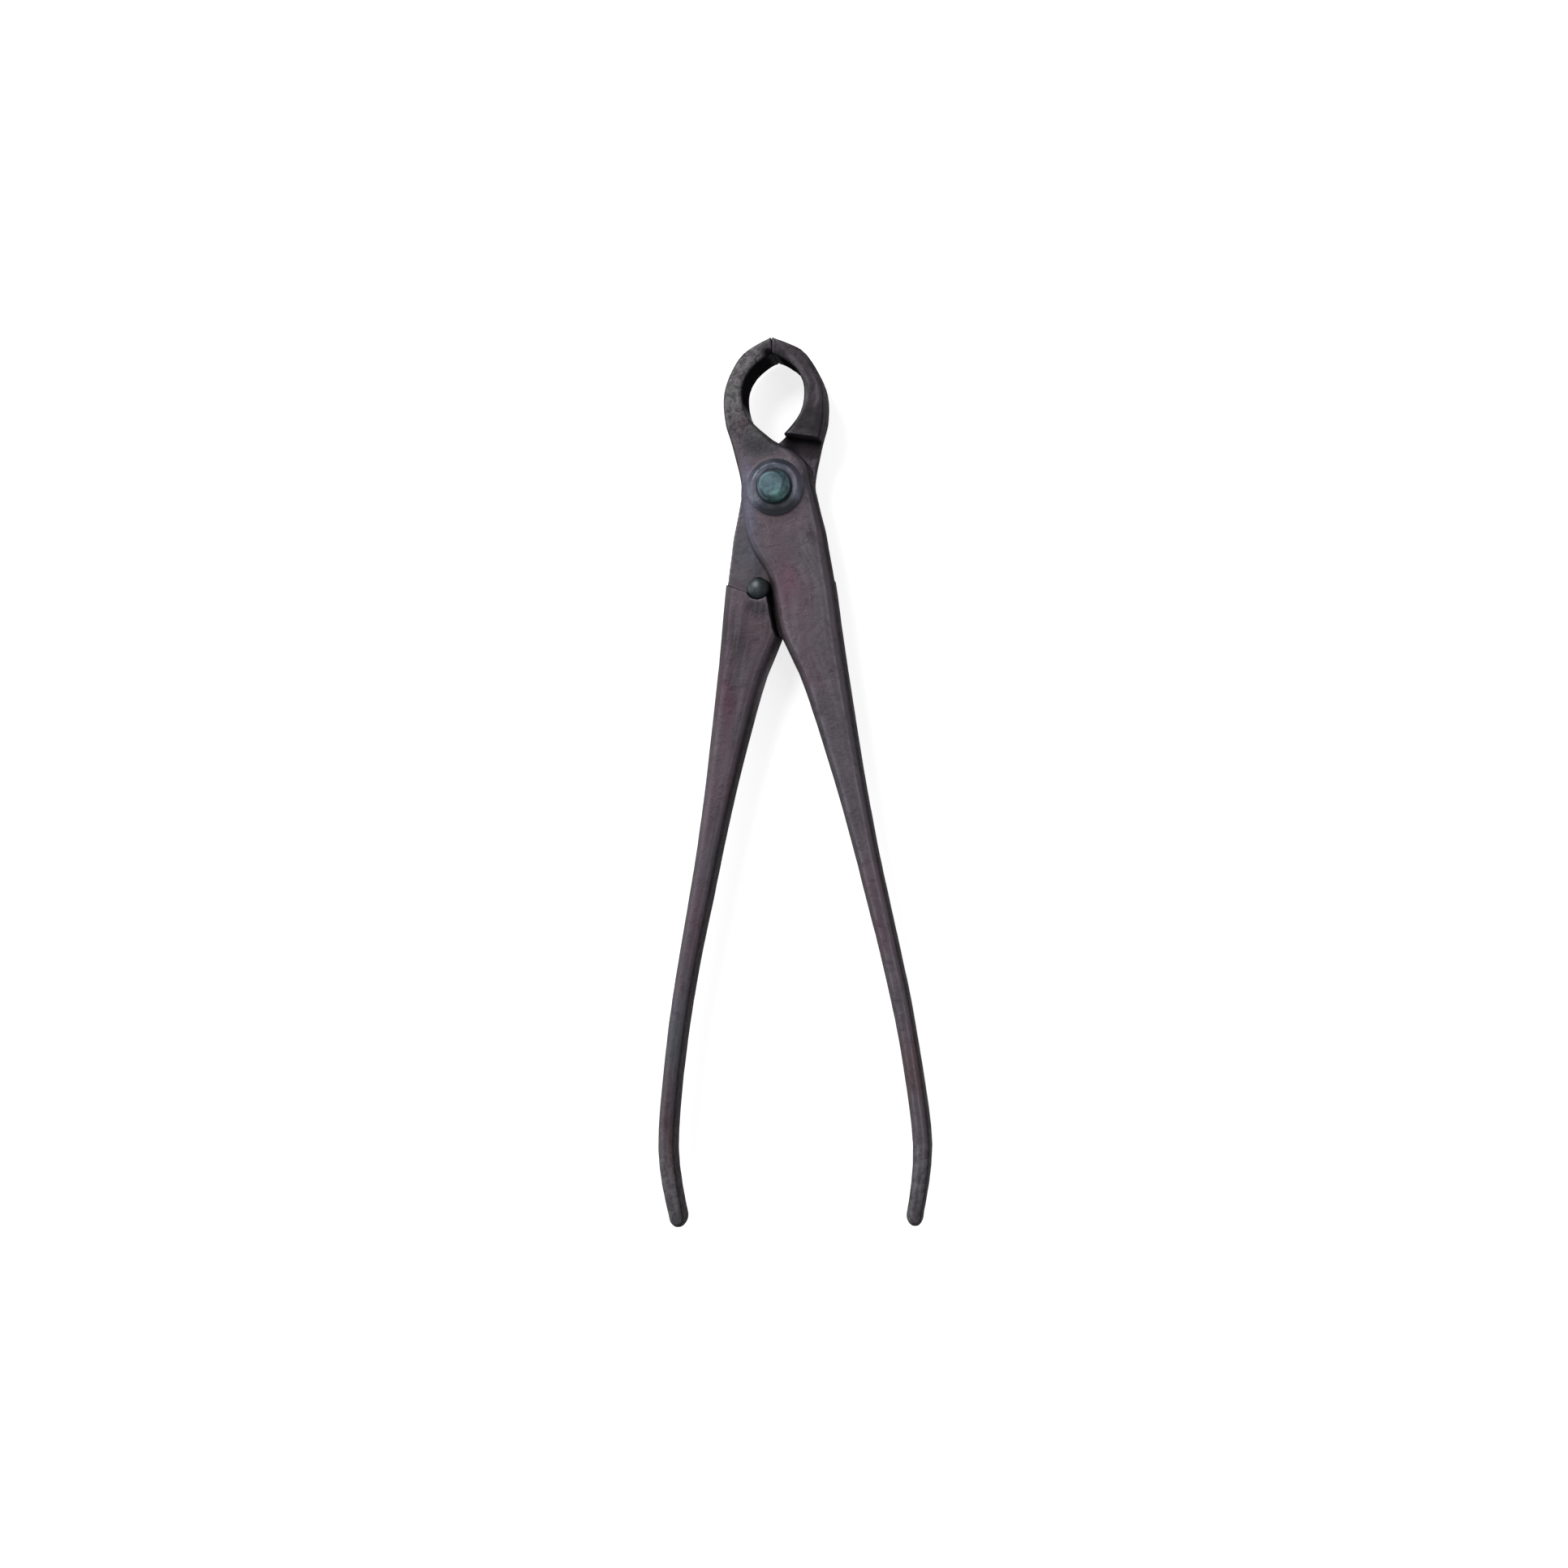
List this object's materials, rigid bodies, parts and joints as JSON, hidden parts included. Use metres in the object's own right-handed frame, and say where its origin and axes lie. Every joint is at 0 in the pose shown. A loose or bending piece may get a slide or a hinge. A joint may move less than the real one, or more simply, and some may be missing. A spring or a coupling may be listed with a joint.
{
  "type": "concave cutter",
  "caption": "Hand cutter with two forged levers crossing at a riveted lap joint, ring-shaped jaws with hollow-ground edges that meet at the tip, long bowed handles and a stop pin.",
  "frame": {"origin": "on the pivot axis, at the flat rear face of the rivet, which is the face the closed tool lies on", "axes": "+X to the right across the tool, +Y along the tool towards the jaws, +Z out of the front face along the pivot"},
  "size_m": [0.0624, 0.2035, 0.0159],
  "materials": {
    "lever_steel": "dark oxide skin of a forging, half matt, brown to purple grey",
    "rivet_steel": "blued steel, worn on top",
    "washer_steel": "dull blue grey steel",
    "pin_steel": "blued steel, brighter on top"
  },
  "bodies": {
    "rear_half": {"rear_lever": "lever_steel", "pivot_rivet": "rivet_steel", "front_washer": "washer_steel", "rear_washer": "washer_steel", "stop_pin": "pin_steel"},
    "front_half": {"front_lever": "lever_steel"}
  },
  "joints": [
    {"name": "pivot", "type": "hinge", "parent": "rear_half", "child": "front_half", "pos_m": [0, 0, 0], "axis": [0, 0, 1], "range_deg": [0, 60]}
  ]
}
